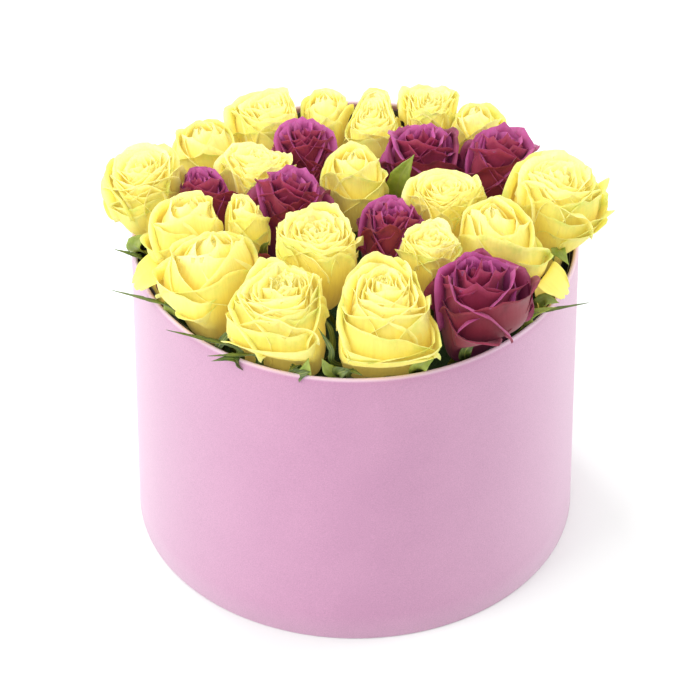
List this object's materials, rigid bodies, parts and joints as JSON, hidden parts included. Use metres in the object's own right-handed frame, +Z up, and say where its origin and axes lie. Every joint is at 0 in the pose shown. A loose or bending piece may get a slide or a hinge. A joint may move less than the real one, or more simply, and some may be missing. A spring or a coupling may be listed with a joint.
{
  "type": "flower hat box",
  "caption": "Round hat box of paper-covered board, filled to the rim and above with cut roses that stand in a block of floral foam inside a dark film lining.",
  "frame": {"origin": "middle of the underside of the box, on the surface that it rests on", "axes": "+Z up along the axis of the round box, -Y towards the side that the picture shows in front, +X to its right"},
  "size_m": [0.2738, 0.2557, 0.236],
  "materials": {
    "pink_paper": "matte velvety paper, light pink",
    "board": "matte grey board",
    "dark_film": "dark blue-grey waterproof film",
    "floral_foam": "matte, fine open pores, soaked with water",
    "yellow_petals": "soft satin, pale yellow with greener outer petals",
    "plum_petals": "soft satin, purple-pink turning burgundy outside",
    "green_leaf": "satin green"
  },
  "bodies": {
    "root": {"box_wall": "pink_paper", "box_base": "board", "film_cup": "dark_film", "foam_block": "floral_foam", "rose_01": "yellow_petals", "rose_02": "yellow_petals", "rose_03": "yellow_petals", "rose_04": "yellow_petals", "rose_05": "yellow_petals", "rose_06": "yellow_petals", "rose_07": "plum_petals", "rose_08": "plum_petals", "rose_09": "plum_petals", "rose_10": "yellow_petals", "rose_11": "yellow_petals", "rose_12": "plum_petals", "rose_13": "plum_petals", "rose_14": "yellow_petals", "rose_15": "yellow_petals", "rose_16": "yellow_petals", "rose_17": "plum_petals", "rose_18": "yellow_petals", "rose_19": "yellow_petals", "rose_20": "yellow_petals", "rose_21": "yellow_petals", "rose_22": "yellow_petals", "rose_23": "yellow_petals", "rose_24": "yellow_petals", "rose_25": "yellow_petals", "rose_26": "plum_petals", "stem_01": "green_leaf", "stem_02": "green_leaf", "stem_03": "green_leaf", "stem_04": "green_leaf", "stem_05": "green_leaf", "stem_06": "green_leaf", "stem_07": "green_leaf", "stem_08": "green_leaf", "stem_09": "green_leaf", "stem_10": "green_leaf", "stem_11": "green_leaf", "stem_12": "green_leaf", "stem_13": "green_leaf", "stem_14": "green_leaf", "stem_15": "green_leaf", "stem_16": "green_leaf", "stem_17": "green_leaf", "stem_18": "green_leaf", "stem_19": "green_leaf", "stem_20": "green_leaf", "stem_21": "green_leaf", "stem_22": "green_leaf", "stem_23": "green_leaf", "stem_24": "green_leaf", "stem_25": "green_leaf", "stem_26": "green_leaf"}
  },
  "joints": []
}
